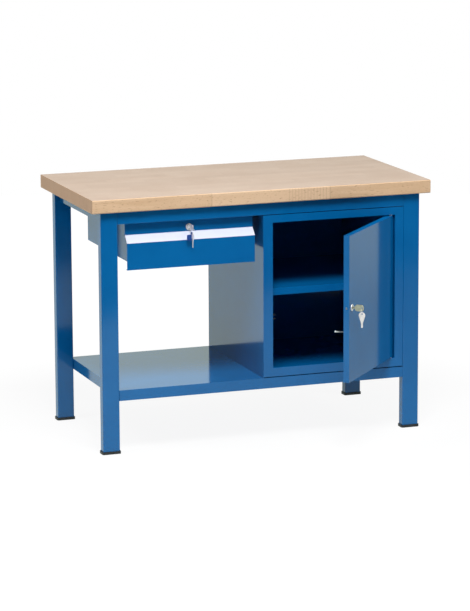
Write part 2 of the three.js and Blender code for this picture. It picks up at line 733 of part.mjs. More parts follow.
// Drawer limits
const bayMiddle = (cabinetLeft - legInner) / 2;
const drawerTop = railUnder - DRAWER_TOP_GAP;
const stripTop = drawerTop - DRAWER_BAND;
const stripBottom = stripTop - DRAWER_STRIP_RISE;
const drawerBottom = stripBottom - DRAWER_PANEL_HEIGHT;
const panelFace = frontFace - DRAWER_PROUD;
const bandFace = panelFace + DRAWER_STRIP_SETBACK;
const bandBack = bandFace + PANEL_SHEET;
const housingOuter = (cabinetLeft + legInner) / 2 - HOUSING_SIDE_GAP;
const frontOuter = housingOuter + DRAWER_FRONT_LAP;
const frontRun = [bayMiddle - frontOuter, bayMiddle + frontOuter];
const housingFront = bandBack + PANEL_SHEET;
const housingBack = rearFace - RAIL_DEPTH - HOUSING_REAR_GAP;
const housingBottom = railUnder - HOUSING_DROP;
const housingWall = housingOuter - PANEL_SHEET;
const boxOuter = housingWall - BOX_SIDE_GAP;
const boxBottom = housingBottom + PANEL_SHEET + BOX_FLOOR_GAP;
const boxRear = housingBack - PANEL_SHEET - BOX_REAR_GAP;
const drawerLockLevel = drawerTop - DRAWER_LOCK_DROP;

// The housing: a tray open at the front, hung from the worktop by its turned-out upper flanges.
function addHousing() {
  const [left, right] = [bayMiddle - housingOuter, bayMiddle + housingOuter];
  const flangeUnder = frameTop - PANEL_SHEET;
  const tray = foldedSheet(
    [
      [flangeUnder, left - HOUSING_FLANGE],
      [flangeUnder, left],
      [housingBottom, left],
      [housingBottom, right],
      [flangeUnder, right],
      [flangeUnder, right + HOUSING_FLANGE],
    ],
    -PANEL_SHEET,
  );
  const walls = sweep("y", tray, [housingFront, housingBack]);
  const back = box(
    [left + PANEL_SHEET / 2, right - PANEL_SHEET / 2],
    [housingBack - PANEL_SHEET, housingBack],
    [housingBottom + PANEL_SHEET / 2, frameTop],
  );
  const roomBack = Math.max(frontFace + RAIL_DEPTH, bandFace + DRAWER_RETURN) + FIT_CLEARANCE;
  const apronRoom = box(
    [left - HOUSING_FLANGE - 1, right + HOUSING_FLANGE + 1],
    [housingFront - 1, roomBack],
    [drawerTop - PANEL_SHEET - DRAWER_TOP_GAP, frameTop + 1],
  );
  place(bench, "drawer_housing", cut(join(walls, back), apronRoom), PAINT);
}

// The drawer's front: one sheet folded as band, slanted strip, panel and returns.
function addDrawerFront() {
  const bends = [
    [panelFace + DRAWER_RETURN, drawerBottom],
    [panelFace, drawerBottom],
    [panelFace, stripBottom],
    [bandFace, stripTop],
    [bandFace, drawerTop],
    [bandFace + DRAWER_RETURN, drawerTop],
  ];
  const sheet = sweep("x", foldedSheet(bends, -PANEL_SHEET), frontRun);
  const lockHole = bar(
    "y",
    LOCK_BODY_DIAMETER + 2 * FIT_CLEARANCE,
    [bandFace - 1, bandBack + 1],
    [drawerLockLevel, bayMiddle],
  );
  place(bench, "drawer_front", cut(sheet, lockHole), PAINT);

  const slope = new THREE.Vector2(DRAWER_STRIP_SETBACK, DRAWER_STRIP_RISE).normalize();
  const lift = new THREE.Vector2(-slope.y, slope.x).multiplyScalar(FIT_CLEARANCE);
  const strip = foldedSheet(
    [
      [panelFace + lift.x, stripBottom + lift.y],
      [bandFace + lift.x, stripTop + lift.y],
    ],
    STRIP_THICKNESS,
  );
  place(bench, "label_strip", sweep("x", strip, frontRun), WHITE);
}

function addDrawerBox() {
  const outer = [bayMiddle - boxOuter, bayMiddle + boxOuter];
  const inner = [outer[0] + PANEL_SHEET, outer[1] - PANEL_SHEET];
  const top = boxBottom + BOX_HEIGHT;
  const block = box(outer, [bandBack, boxRear], [boxBottom, top]);
  const hollow = box(
    inner,
    [bandBack + PANEL_SHEET, boxRear - PANEL_SHEET],
    [boxBottom + PANEL_SHEET, top + 1],
  );
  place(bench, "drawer_box", cut(block, hollow), PAINT);
}

// Runners: a channel on each housing wall and a slide bar on each side of the box.
function addRunners() {
  const low = housingBottom + RUNNER_RISE;
  const high = low + RUNNER_HEIGHT;
  const run = [housingFront + RUNNER_FRONT_INSET, boxRear];
  for (const [side, sign] of SIDES) {
    const wall = bayMiddle + sign * housingWall;
    const channel = foldedSheet(
      [
        [low, wall - sign * RUNNER_REACH],
        [low, wall],
        [high, wall],
        [high, wall - sign * RUNNER_REACH],
      ],
      -sign * RUNNER_SHEET,
    );
    place(bench, "runner_channel_" + side, sweep("y", channel, run), ZINC);
    const slide = box(
      span(bayMiddle + sign * boxOuter, wall - sign * (RUNNER_SHEET + FIT_CLEARANCE)),
      run,
      [low + RUNNER_SHEET + FIT_CLEARANCE, high - RUNNER_SHEET - FIT_CLEARANCE],
    );
    place(bench, "runner_slide_" + side, slide, ZINC);
  }
}

// The drawer's lock: its cam turns up behind the apron's return.
function addDrawerLock() {
  const { front, back, outer, bore } = lockBody(bandFace, drawerLockLevel, bayMiddle);
  place(bench, "drawer_lock_body", cut(outer, bore), ZINC);
  const plugFace = front - PLUG_PROUD;
  const camFront = back + FIT_CLEARANCE;
  const plug = bar("y", PLUG_DIAMETER, [plugFace, camFront], [drawerLockLevel, bayMiddle]);
  place(bench, "drawer_lock_plug", plug, BRASS);
  const camOutline = roundedRectangle(
    [drawerLockLevel - CAM_WIDTH / 2, drawerLockLevel + CAM_WIDTH / 2],
    [bayMiddle - CAM_WIDTH / 2, bayMiddle + CAM_LENGTH],
    CAM_WIDTH / 2 - FIT_CLEARANCE,
  );
  const cam = sweep("y", camOutline, [camFront, camFront + CAM_SHEET]);
  place(bench, "drawer_lock_cam", cam, ZINC);
  const ring = addKeys(bench, "drawer", [bayMiddle, plugFace, drawerLockLevel]);
  addFob(bench, bayMiddle, ring);
}

addWorktop();
addLegs();
addRails();
addLowerShelf();
addCabinet();
addDoorPanel();
addHingePins();
addCatch();
addDoorLock();
addHousing();
addDrawerFront();
addDrawerBox();
addRunners();
addDrawerLock();

// The part's origin is the middle of its outline on the floor, with the door standing open.
const workbench = new THREE.Group();
workbench.add(bench);
bench.updateMatrixWorld(true);
const outlineBox = new THREE.Box3().setFromObject(bench, true);
const middle = outlineBox.getCenter(new THREE.Vector3());
bench.position.set(-middle.x, -middle.y, -outlineBox.min.z);

export default workbench;
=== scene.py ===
# %% [markdown]
# # A workbench with a drawer, a lower shelf and a door cabinet
# The packed model is the bench itself: sheet steel, tube legs, a beech top, locks and runners, each
# piece at its real size. It could be modelled again by eye, but loading it as a fixed frame keeps
# every fit and every joint. What is left for Blender is what sheet metal and wood look like, and the
# small fittings that are too fine for the solids.

# %% Load the packed model
import json
import math

import bmesh
import bpy
from mathutils import Matrix, Vector


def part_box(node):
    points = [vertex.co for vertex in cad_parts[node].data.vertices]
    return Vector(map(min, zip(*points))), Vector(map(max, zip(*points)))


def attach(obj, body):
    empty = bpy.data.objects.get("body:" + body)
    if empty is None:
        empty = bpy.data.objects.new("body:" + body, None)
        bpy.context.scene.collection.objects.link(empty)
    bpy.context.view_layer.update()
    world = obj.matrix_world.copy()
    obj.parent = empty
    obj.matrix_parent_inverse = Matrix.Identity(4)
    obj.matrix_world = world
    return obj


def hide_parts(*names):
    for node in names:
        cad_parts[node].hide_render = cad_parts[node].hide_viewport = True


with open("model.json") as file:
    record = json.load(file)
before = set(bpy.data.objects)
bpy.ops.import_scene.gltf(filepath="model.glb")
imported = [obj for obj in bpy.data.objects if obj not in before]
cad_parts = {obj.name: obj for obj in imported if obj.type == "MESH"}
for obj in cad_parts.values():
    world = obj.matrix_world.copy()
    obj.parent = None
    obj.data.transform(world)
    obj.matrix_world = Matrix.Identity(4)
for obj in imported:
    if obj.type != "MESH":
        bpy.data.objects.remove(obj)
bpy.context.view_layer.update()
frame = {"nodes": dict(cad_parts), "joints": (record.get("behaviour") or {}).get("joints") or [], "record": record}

MM = 0.001
nodes = frame["nodes"]
joints = {joint["name"]: joint for joint in frame["joints"]}

# %% [markdown]
# ## The camera
# The bench was photographed from its front left, from far away with a long lens, a little above the
# top. A camera could be aimed by a constraint, but a matrix written from yaw, pitch and roll says
# exactly where it stands. The lens follows from the focal length in pixels and the picture's long side.

# %% Camera
PICTURE_HEIGHT = 611
FOCAL_PIXELS = 3024
AXIS_ABOVE_MIDDLE = 2.5
SENSOR = 36.0
FARTHEST = 100.0
EYE = Vector((-3.460, -9.447824, 2.472))
YAW, PITCH, ROLL = (math.radians(angle) for angle in (19.82, 11.36, -0.27))

level = Vector((math.cos(YAW), -math.sin(YAW), 0))
ahead = Vector((math.sin(YAW) * math.cos(PITCH), math.cos(YAW) * math.cos(PITCH), -math.sin(PITCH)))
upward = level.cross(ahead)
across = level * math.cos(ROLL) + upward * math.sin(ROLL)
above = upward * math.cos(ROLL) - level * math.sin(ROLL)

camera = bpy.data.objects.new("camera", bpy.data.cameras.new("camera"))
camera.data.sensor_width = SENSOR
camera.data.lens = FOCAL_PIXELS * SENSOR / PICTURE_HEIGHT
camera.data.shift_y = -AXIS_ABOVE_MIDDLE / PICTURE_HEIGHT
camera.data.clip_end = FARTHEST
camera.matrix_world = Matrix.Translation(EYE) @ Matrix((across, above, -ahead)).transposed().to_4x4()
bpy.context.scene.collection.objects.link(camera)
bpy.context.scene.camera = camera
bpy.context.scene.view_settings.view_transform = "Standard"
print("lens", round(camera.data.lens, 1), "mm")

# %% [markdown]
# ## Node maths that reads like arithmetic
# A finish is a formula: so much grain, plus a joint line, times a tone. Nodes could be wired one by
# one, but a small class around an output socket lets Python's own operators add the Math nodes, so
# the formula can be read. Colours go through Mix and vectors through Vector Math, because a Math node
# would turn them grey.


# %% Sockets as numbers
class Wire:
    """One output socket of a shader node."""

    def __init__(self, tree, socket):
        self.tree = tree
        self.socket = socket

    @classmethod
    def node(cls, tree, kind, settings=None, inputs=None, output=0):
        """Adds a node: its settings first, then the values or links of its sockets."""
        made = tree.nodes.new(kind)
        for name, value in (settings or {}).items():
            setattr(made, name, value)
        for name, value in (inputs or {}).items():
            if isinstance(value, Wire):
                tree.links.new(value.socket, made.inputs[name])
            else:
                made.inputs[name].default_value = value
        return cls(tree, made.outputs[output] if made.outputs else None)

    def math(self, operation, first, second=0.0):
        settings = {"operation": operation}
        return Wire.node(self.tree, "ShaderNodeMath", settings, {0: first, 1: second})

    def __add__(self, other):
        return self.math("ADD", self, other)

    def __radd__(self, other):
        return self.math("ADD", other, self)

    def __sub__(self, other):
        return self.math("SUBTRACT", self, other)

    def __rsub__(self, other):
        return self.math("SUBTRACT", other, self)

    def __mul__(self, other):
        return self.math("MULTIPLY", self, other)

    def __rmul__(self, other):
        return self.math("MULTIPLY", other, self)

    def __truediv__(self, other):
        return self.math("DIVIDE", self, other)

    def __rtruediv__(self, other):
        return self.math("DIVIDE", other, self)

    def __abs__(self):
        return self.math("ABSOLUTE", self)

    def __floor__(self):
        return self.math("FLOOR", self)

    def fraction(self):
        return self.math("FRACT", self)

    def at_least(self, other):
        return self.math("MAXIMUM", self, other)

    def rising(self, low, high):
        """A mask that goes smoothly from 0 at low to 1 at high."""
        settings = {"interpolation_type": "SMOOTHSTEP"}
        inputs = {"Value": self, "From Min": low, "From Max": high}
        return Wire.node(self.tree, "ShaderNodeMapRange", settings, inputs)

    def falling(self, low, high):
        return 1 - self.rising(low, high)

    def between(self, start, end):
        """The colour that this mask picks between two others."""
        settings = {"data_type": "RGBA"}
        inputs = {0: self, 6: start, 7: end}
        return Wire.node(self.tree, "ShaderNodeMix", settings, inputs, 2)

    def vector_math(self, operation, other=(0, 0, 0), output=0):
        settings = {"operation": operation}
        return Wire.node(self.tree, "ShaderNodeVectorMath", settings, {0: self, 1: other}, output)

    def stretched(self, scale):
        return self.vector_math("MULTIPLY", scale)

    def moved(self, offset):
        return self.vector_math("ADD", offset)

    def length(self):
        return self.vector_math("LENGTH", output="Value")

    def part(self, axis):
        return Wire.node(self.tree, "ShaderNodeSeparateXYZ", None, {"Vector": self}, axis)

    def noise(self, scale=1.0, detail=2.0, roughness=0.5, distortion=0.0):
        inputs = {"Scale": scale, "Detail": detail, "Roughness": roughness}
        inputs.update({"Vector": self, "Distortion": distortion})
        return Wire.node(self.tree, "ShaderNodeTexNoise", None, inputs)

    def chance(self):
        """A random number from 0 to 1 for each whole vector."""
        settings = {"noise_dimensions": "3D"}
        return Wire.node(self.tree, "ShaderNodeTexWhiteNoise", settings, {"Vector": self})

    def bumped(self, strength, depth):
        inputs = {"Height": self, "Strength": strength, "Distance": depth}
        return Wire.node(self.tree, "ShaderNodeBump", None, inputs)


print("a Wire adds the nodes for", ", ".join(name for name in vars(Wire) if name[0] != "_"))

# %% [markdown]
# ## What every finish starts from
# A finish on the real bench is bound to the piece it lies on. Image textures would need each piece to
# be unwrapped, so the formulas ask for the spot on the bench and for the way that the surface faces.


# %% Helpers for finishes
def vector(tree, x, y, z):
    return Wire.node(tree, "ShaderNodeCombineXYZ", None, {"X": x, "Y": y, "Z": z})


def spot_on_bench(tree):
    return Wire.node(tree, "ShaderNodeTexCoord", None, None, "Object")


def facing(tree):
    return Wire.node(tree, "ShaderNodeNewGeometry", None, None, "Normal")


def emptied(holder):
    """The node tree of a material or a world, with nothing in it."""
    holder.use_nodes = True
    holder.node_tree.nodes.clear()
    return holder.node_tree


def finish(name, sockets):
    """A material with one Principled shader, whose sockets come from a function."""
    made = bpy.data.materials.new(name)
    tree = emptied(made)
    shader = Wire.node(tree, "ShaderNodeBsdfPrincipled", None, sockets(tree))
    Wire.node(tree, "ShaderNodeOutputMaterial", None, {"Surface": shader})
    print("finish", name, "has", len(tree.nodes), "nodes")
    return made


print("spots and directions come from Object coordinates and Normal")

# %% [markdown]
# ## Surroundings
# The bench was photographed in front of plain white. A room could be built round it, but a world that
# looks white to the camera and to shiny surfaces hides no side of the bench. The room behind the camera
# is darker, as in a studio, which keeps the blue of the fronts deep while the sides mirror the white.
# The wall at the left is dimmer too, and shows where the shelf mirrors the cabinet's side.

# %% Surroundings
BLACK = (0, 0, 0, 1)
WHITE = (1, 1, 1, 1)
MIRRORED_WHITE = (0.86, 1, 0.91, 1)
WALL_IN_GLOSS = 0.97
ROOM_BEHIND_CAMERA = 0.06
ROOM_EDGE = -0.75, -0.15
LEFT_WALL_DIMMER = 0.6
LEFT_WALL_EDGE = -0.35, -0.05
LEFT_WALL_FOOT = 0.02, 0.14
AMBIENT = 0.22
AMBIENT_ALL_ROUND = 0.35
AMBIENT_OVERHEAD = 0.65
AMBIENT_BEHIND_BENCH = 0.9
OVERHEAD_EDGE = -0.3, 0.9
BEHIND_BENCH_EDGE = 0.1, 0.8


def ray_masks(tree):
    """Masks of rays from the camera, of rays from gloss, and of all rays that show the room itself."""
    straight, gloss, through = (
        Wire.node(tree, "ShaderNodeLightPath", None, None, name)
        for name in ("Is Camera Ray", "Is Glossy Ray", "Is Transmission Ray")
    )
    return straight, gloss, straight.at_least(gloss).at_least(through)


def light_surroundings():
    world = bpy.data.worlds.new("white_room")
    tree = emptied(world)
    straight, gloss, seen = ray_masks(tree)
    direction = Wire.node(tree, "ShaderNodeTexCoord", None, None, "Generated")
    right, back, up = (direction.part(axis) for axis in "XYZ")
    mirrored = ROOM_BEHIND_CAMERA + (WALL_IN_GLOSS - ROOM_BEHIND_CAMERA) * back.rising(*ROOM_EDGE)
    dim_left = right.falling(*LEFT_WALL_EDGE) * up.rising(*LEFT_WALL_FOOT)
    white = (mirrored * (1 - LEFT_WALL_DIMMER * dim_left)).at_least(straight)
    overhead = AMBIENT_OVERHEAD * up.rising(*OVERHEAD_EDGE)
    behind = AMBIENT_BEHIND_BENCH * back.rising(*BEHIND_BENCH_EDGE)
    ambient = AMBIENT * (AMBIENT_ALL_ROUND + overhead + behind)
    strength = seen * white + (1 - seen) * ambient
    tint = gloss.between(WHITE, MIRRORED_WHITE)
    background = Wire.node(tree, "ShaderNodeBackground", None, {"Color": strength.between(BLACK, tint)})
    Wire.node(tree, "ShaderNodeOutputWorld", None, {"Surface": background})
    bpy.context.scene.world = world
    print("the room has", len(tree.nodes), "nodes")


light_surroundings()

# %% [markdown]
# ## Floor
# The bench stands on white paper. A curved sweep would hide the bench from behind, so the paper is flat,
# laid square to the camera, and ends before the fronts of the bench could mirror it. To the camera it
# glows almost white and keeps a faint shadow. At the right it is dimmer in gloss, as the door shows.

# %% Floor
PAPER = (0.76, 0.76, 0.76, 1)
PAPER_SHADE = (0.08, 0.08, 0.08, 1)
FLOOR_BELOW_SHOES = 0.2 * MM
PAPER_FRONT = 2.1
PAPER_BACK = 5.0
PAPER_SIDE = 4.0
GLOW_NEAR = 0.91
GLOW_FAR = 1.0
GLOW_FADE = 0.9, 2.4
GLOW_IN_GLOSS = 1.0
SHADED_SIDE = 0.57
SHADE_COMES = 0.0, 1.6
SHADE_GOES = 2.0, 4.0
SHADE_GONE = 0.6


def white_paper():
    paper = bpy.data.materials.new("white_paper")
    tree = emptied(paper)
    straight, gloss, seen = ray_masks(tree)
    plain = Wire.node(tree, "ShaderNodeBsdfDiffuse", None, {"Color": PAPER})
    shade = Wire.node(tree, "ShaderNodeBsdfDiffuse", None, {"Color": PAPER_SHADE})
    spot = spot_on_bench(tree)
    to_camera = GLOW_NEAR + (GLOW_FAR - GLOW_NEAR) * spot.length().rising(*GLOW_FADE)
    right = spot.part("X")
    shaded = right.rising(*SHADE_COMES) * (1 - SHADE_GONE * right.rising(*SHADE_GOES))
    in_gloss = GLOW_IN_GLOSS * (1 - SHADED_SIDE * shaded)
    strength = straight * to_camera + (1 - straight) * in_gloss
    tint = gloss.between(WHITE, MIRRORED_WHITE)
    glow = Wire.node(tree, "ShaderNodeEmission", None, {"Color": strength.between(BLACK, tint)})
    shown = Wire.node(tree, "ShaderNodeAddShader", None, {0: shade, 1: glow})
    mixed = Wire.node(tree, "ShaderNodeMixShader", None, {0: seen, 1: plain, 2: shown})
    Wire.node(tree, "ShaderNodeOutputMaterial", None, {"Surface": mixed})
    return paper


away = Vector((math.sin(YAW), math.cos(YAW), 0))
near_edge, far_edge = away * -PAPER_FRONT, away * PAPER_BACK
half_width = level * PAPER_SIDE
near_corners = [near_edge - half_width, near_edge + half_width]
far_corners = [far_edge + half_width, far_edge - half_width]
floor_mesh = bpy.data.meshes.new("floor")
floor_mesh.from_pydata(near_corners + far_corners, [], [(0, 1, 2, 3)])
floor_mesh.materials.append(white_paper())
floor = bpy.data.objects.new("floor", floor_mesh)
floor.location.z = -FLOOR_BELOW_SHOES
bpy.context.scene.collection.objects.link(floor)
print("paper of", 2 * PAPER_SIDE, "by", PAPER_FRONT + PAPER_BACK, "m")

# %% [markdown]
# ## Lamps
# A studio lights sheet steel through large soft boxes. Sun lamps would give hard shadows, so three round
# area lamps hang high: a strong one in front, a little to the left, and a weak one at each side.

# %% Lamps
LAMPS = {
    "key": ((-0.65, -2.4, 4.35), 1.9, 215),
    "left": ((-3.0, -0.3, 3.6), 1.6, 48),
    "right": ((3.0, -2.2, 4.4), 1.6, 44),
}
MIDDLE = Vector((0, 0, 0.45))


def hang_lamp(name, spot, size, watts):
    lamp = bpy.data.objects.new(name, bpy.data.lights.new(name, "AREA"))
    lamp.data.shape = "DISK"
    lamp.data.size = size
    lamp.data.energy = watts
    lamp.location = spot
    lamp.rotation_euler = (MIDDLE - lamp.location).to_track_quat("-Z", "Y").to_euler()
    bpy.context.scene.collection.objects.link(lamp)


for lamp_name, lamp_values in LAMPS.items():
    hang_lamp(lamp_name + "_lamp", *lamp_values)
print(len(LAMPS), "soft lamps")

# %% [markdown]
# ## Gloss blue paint
# The steel is powder coated in a deep gentian blue. The coat is smooth and glossy: nearly matt blue
# seen straight on, nearly a mirror at a flat angle, which is why the shelf and the cabinet's side look
# grey. A clear coat could be laid over it, but one layer with a low index already has that range. Under
# it lie a slight cloudiness of the pigment and the fine peel of baked powder.

# %% Blue paint
PAINT_DEEP = (0.0006, 0.108, 0.318, 1)
PAINT_LIGHT = (0.0012, 0.122, 0.350, 1)
PAINT_INDEX = 1.45
PAINT_ROUGHNESS = 0.08
SMEAR_ROUGHNESS = 0.05
CLOUD_RANGE = 0.3, 0.7
PEEL_DEPTH = 0.3 * MM


def blue_coat(tree):
    place = spot_on_bench(tree)
    cloud = place.noise(scale=5.0, detail=3.0, roughness=0.55)
    peel = place.noise(scale=340.0, detail=1.5)
    smear = place.noise(scale=38.0, detail=3.0, roughness=0.6)
    return {
        "Base Color": cloud.rising(*CLOUD_RANGE).between(PAINT_DEEP, PAINT_LIGHT),
        "Roughness": PAINT_ROUGHNESS + SMEAR_ROUGHNESS * smear,
        "IOR": PAINT_INDEX,
        "Normal": peel.bumped(strength=0.05, depth=PEEL_DEPTH),
    }


blue_paint = finish("gloss_blue_paint", blue_coat)

# %% [markdown]
# ## Beech staves
# The top is glued from beech staves, each with its own tone, butt jointed along its length. The boards
# could be cut as separate pieces, but they are planed flush and sealed, so nothing of the joints stands
# up. The formulas find the stave that a spot lies in, with a tone for it, and the lines of its joints.
# One stretch of the front stave is finger jointed, and shows fine teeth.

# %% Beech staves
STAVE_WIDTH = 43 * MM
STAVE_LENGTH = 0.42
STAVE_SHIFT = 5.0
SHIFT_SEED = 7.0, 3.0
TONE_SEED = 11.0
HALF = 0.5
SIDE_JOINT = 0.488, 0.497
BUTT_JOINT = 0.4962, 0.4985
FINGERED = 0.075, 0.235
FINGER_PITCH = 11 * MM
FINGER_TOOTH = 0.3, 0.48
FRONT_SKIN = 2 * MM
top_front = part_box("worktop")[0].y


def stave_at(tree, along, over):
    """The row of a spot and its run along that row, with the row's shift and the stave's tone."""
    row = math.floor(over / STAVE_WIDTH)
    shift = vector(tree, row, *SHIFT_SEED).chance()
    run = along / STAVE_LENGTH + STAVE_SHIFT * shift
    tone = vector(tree, row, math.floor(run), TONE_SEED).chance()
    return row, run, shift, tone


def glue_lines(over, run):
    """Masks of the joints between rows, and between the staves of one row."""
    side = abs((over / STAVE_WIDTH).fraction() - HALF).rising(*SIDE_JOINT)
    butt = abs(run.fraction() - HALF).rising(*BUTT_JOINT)
    return side, butt


def finger_teeth(along, over):
    start, end = FINGERED
    stretch = along.rising(start, start + FINGER_PITCH) * along.falling(end - FINGER_PITCH, end)
    tooth = abs((along / FINGER_PITCH).fraction() - HALF).rising(*FINGER_TOOTH)
    front = over.falling(top_front + FRONT_SKIN, top_front + STAVE_WIDTH)
    return stretch * front * tooth


print("staves of", STAVE_WIDTH / MM, "by", STAVE_LENGTH / MM, "mm")

# %% [markdown]
# ## Beech
# Sawn beech has a quiet grain along the stave and many short dark flecks. On the ends it shows growth
# rings instead. The top face is painted darker and duller than the edges, a painted shade that tempers
# the lamp overhead. A photograph of wood could be wrapped round the top, but it would repeat and carry
# its own light, so the grain is stretched noise.

# %% Beech
BEECH_PALE = (0.680, 0.480, 0.310, 1)
BEECH_WARM = (0.560, 0.370, 0.215, 1)
# The top face's two colours are painted darker than the edges': painted shade against the lamp overhead.
BEECH_TOP_SHADED = (0.425, 0.325, 0.280, 1)
BEECH_TOP_SHADED_DULL = (0.385, 0.280, 0.235, 1)
BEECH_FLECK = (0.360, 0.210, 0.120, 1)
BEECH_JOINT = (0.330, 0.205, 0.125, 1)
BEECH_END = (0.580, 0.350, 0.210, 1)
BEECH_RING = (0.490, 0.285, 0.165, 1)
BEECH_INDEX = 1.42
GRAIN_WAVES = (5.0, 95.0, 60.0)
FLECK_WAVES = (140.0, 800.0, 800.0)
PIP_WAVES = (105.0, 330.0, 330.0)
FLECK_RANGE = 0.66, 0.74
PIP_RANGE = 0.70, 0.77
BOARD_RANGE = 0.25, 0.75
WORN_RANGE = 0.3, 0.7
FACING_RANGE = 0.75, 0.9
RING_RANGE = 0.1, 0.9
RING_WAVES = 260.0
RING_WOBBLE = 2.0
GRAIN_SHARE = 0.55
TONE_SHARE = 0.45
FLECK_SHARE = 0.55
PIP_SHARE = 0.6
FINGER_SHARE = 0.55
JOINT_SHARE = 0.45
TOP_SHADE_SHARE = 0.74
RING_SHARE = 0.6
RING_TONE_SHARE = 0.3
END_JOINT_SHARE = 0.5
GRAIN_LIFT = 9.0, 17.0, 5.0
HEART_LEVEL = 0.9
HEART_SINKS = 0.2
HEART_WANDERS = 0.02
BEECH_ROUGHNESS = 0.42
GRAIN_ROUGHNESS = 0.12
FLECK_SINKS = 0.4
GRAIN_DEPTH = 0.25 * MM


def growth_rings(tree, place, stave, grain):
    """A mask of rings round a heart of its own for each stave."""
    row, _, shift, tone = stave
    heart = vector(tree, 0.0, HEART_WANDERS * tone + STAVE_WIDTH * row, HEART_LEVEL - HEART_SINKS * shift)
    radius = place.stretched((0.0, 1.0, 1.0)).moved(heart.stretched((0.0, -1.0, -1.0))).length()
    wave = abs((radius * RING_WAVES + RING_WOBBLE * grain).fraction() - HALF) / HALF
    return wave.rising(*RING_RANGE)


def beech_board(tree):
    place = spot_on_bench(tree)
    along, over = (place.part(axis) for axis in "XY")
    stave = stave_at(tree, along, over)
    _, run, shift, tone = stave
    side_joint, butt_joint = glue_lines(over, run)
    lift = vector(tree, *(size * chance for size, chance in zip(GRAIN_LIFT, (tone, shift, tone))))
    grain = place.stretched(GRAIN_WAVES).moved(lift).noise(detail=5.0, roughness=0.62, distortion=0.4)
    fleck = place.stretched(FLECK_WAVES).moved(lift).noise(detail=1.0)
    pip = place.stretched(PIP_WAVES).moved(lift).noise(detail=0.0)
    worn = place.noise(scale=7.0, detail=4.0, roughness=0.6).rising(*WORN_RANGE)
    normal = facing(tree)
    is_end = abs(normal.part("X")).rising(*FACING_RANGE)
    is_shaded_top = normal.part("Z").rising(*FACING_RANGE)

    figure = (GRAIN_SHARE * grain + TONE_SHARE * tone).rising(*BOARD_RANGE)
    board = figure.between(BEECH_WARM, BEECH_PALE)
    board = (FLECK_SHARE * fleck.rising(*FLECK_RANGE)).between(board, BEECH_FLECK)
    board = (PIP_SHARE * pip.rising(*PIP_RANGE)).between(board, BEECH_FLECK)
    board = (FINGER_SHARE * finger_teeth(along, over) * grain).between(board, BEECH_JOINT)
    board = (JOINT_SHARE * side_joint.at_least(butt_joint)).between(board, BEECH_JOINT)
    # Painted shade: the up-facing top is mixed towards its darker colours.
    board = (TOP_SHADE_SHARE * is_shaded_top).between(board, worn.between(BEECH_TOP_SHADED_DULL, BEECH_TOP_SHADED))
    rings = growth_rings(tree, place, stave, grain)
    end = (RING_SHARE * rings + RING_TONE_SHARE * tone).between(BEECH_END, BEECH_RING)
    end = (END_JOINT_SHARE * side_joint).between(end, BEECH_JOINT)
    return {
        "Base Color": is_end.between(board, end),
        "Roughness": BEECH_ROUGHNESS + GRAIN_ROUGHNESS * grain,
        "IOR": BEECH_INDEX,
        "Normal": (grain - FLECK_SINKS * fleck).bumped(strength=0.12, depth=GRAIN_DEPTH),
    }


beech = finish("oiled_beech", beech_board)

# %% [markdown]
# ## Plastics and the white strip
# The shoes are moulded in black plastic with a fine spark grain, the key fob in a dark blue one, and
# the strip on the drawer is white film. Three formulas could be written, but one with a different
# colour, gloss and grain serves all, because they differ in little else.

# %% Plastics
PLASTIC_INDEX = 1.46
SCUFF_RANGE = 0.45, 0.8
SCUFF_ROUGHNESS = 0.12


def moulded(name, colour, dust, gloss, grain, depth):
    def sockets(tree):
        place = spot_on_bench(tree)
        scuff = place.noise(scale=60.0, detail=4.0, roughness=0.6)
        spark = place.noise(scale=grain)
        return {
            "Base Color": scuff.rising(*SCUFF_RANGE).between(colour, dust),
            "Roughness": gloss + SCUFF_ROUGHNESS * scuff,
            "IOR": PLASTIC_INDEX,
            "Normal": spark.bumped(strength=0.2, depth=depth),
        }

    return finish(name, sockets)


black_plastic = moulded(
    "black_plastic",
    colour=(0.016, 0.017, 0.020, 1),
    dust=(0.030, 0.031, 0.034, 1),
    gloss=0.5,
    grain=900.0,
    depth=0.15 * MM,
)
blue_plastic = moulded(
    "blue_plastic",
    colour=(0.006, 0.045, 0.24, 1),
    dust=(0.012, 0.06, 0.28, 1),
    gloss=0.3,
    grain=700.0,
    depth=0.05 * MM,
)
white_film = moulded(
    "white_film",
    colour=(0.60, 0.63, 0.76, 1),
    dust=(0.58, 0.61, 0.73, 1),
    gloss=0.3,
    grain=250.0,
    depth=0.04 * MM,
)

# %% [markdown]
# ## Bare metals
# The key in the door is nickel plated brass, the other keys, the rings and the hinge pins are bright
# steel. The locks' faces are chromed, runners, pegs and screws zinc plated, the bolt is dull steel and
# the clip dark spring steel. Each could be one flat tint, but what tells metals apart close up is the
# grain of their rolling or turning marks. A stretched noise gives those marks, and a slower one the dull
# patches of handling.

# %% Metals
PATCH_RANGE = 0.35, 0.7
MARK_ROUGHNESS = 0.16
MARK_DEPTH = 0.05 * MM


def plated(name, bright, dull, metal, gloss, marks):
    def sockets(tree):
        place = spot_on_bench(tree)
        patch = place.noise(scale=120.0, detail=3.0, roughness=0.6)
        line = place.stretched(marks).noise(detail=3.0)
        return {
            "Base Color": patch.rising(*PATCH_RANGE).between(bright, dull),
            "Metallic": metal,
            "Roughness": gloss + MARK_ROUGHNESS * line,
            "Normal": line.bumped(strength=0.1, depth=MARK_DEPTH),
        }

    return finish(name, sockets)


